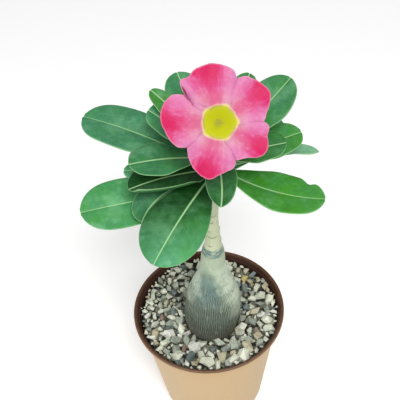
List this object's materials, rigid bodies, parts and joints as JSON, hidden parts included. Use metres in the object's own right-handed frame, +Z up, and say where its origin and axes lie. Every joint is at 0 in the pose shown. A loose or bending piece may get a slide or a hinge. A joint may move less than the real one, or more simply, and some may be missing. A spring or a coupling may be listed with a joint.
{
  "type": "potted desert rose",
  "caption": "Young desert rose in bloom: swollen grey-green trunk, a rosette of oval leaves and a pink flower, in a round tapered pot topped with stone grit.",
  "frame": {"origin": "centre of the pot's underside, on the surface that it stands on", "axes": "+Z up along the pot's axis, -Y to the front, the side that the flower faces, +X to the right seen from there"},
  "size_m": [0.1, 0.088, 0.2148],
  "materials": {
    "pot": "satin",
    "potting_mix": "rough",
    "grit": "rough",
    "bark": "matte",
    "leaf": "satin",
    "petal": "matte",
    "calyx": "satin",
    "anther": "matte"
  },
  "bodies": {
    "root": {"pot": "pot", "potting_mix": "potting_mix", "grit": "grit", "trunk": "bark", "leaf_01": "leaf", "leaf_02": "leaf", "leaf_03": "leaf", "leaf_04": "leaf", "leaf_05": "leaf", "leaf_06": "leaf", "leaf_07": "leaf", "leaf_08": "leaf", "leaf_09": "leaf", "leaf_10": "leaf", "leaf_11": "leaf", "leaf_12": "leaf", "leaf_13": "leaf", "leaf_14": "leaf", "leaf_15": "leaf", "leaf_16": "leaf", "leaf_17": "leaf", "leaf_18": "leaf", "leaf_19": "leaf", "leaf_20": "leaf", "leaf_21": "leaf", "corolla": "petal", "calyx_and_stalk": "calyx", "anther_cone": "anther"}
  },
  "joints": []
}
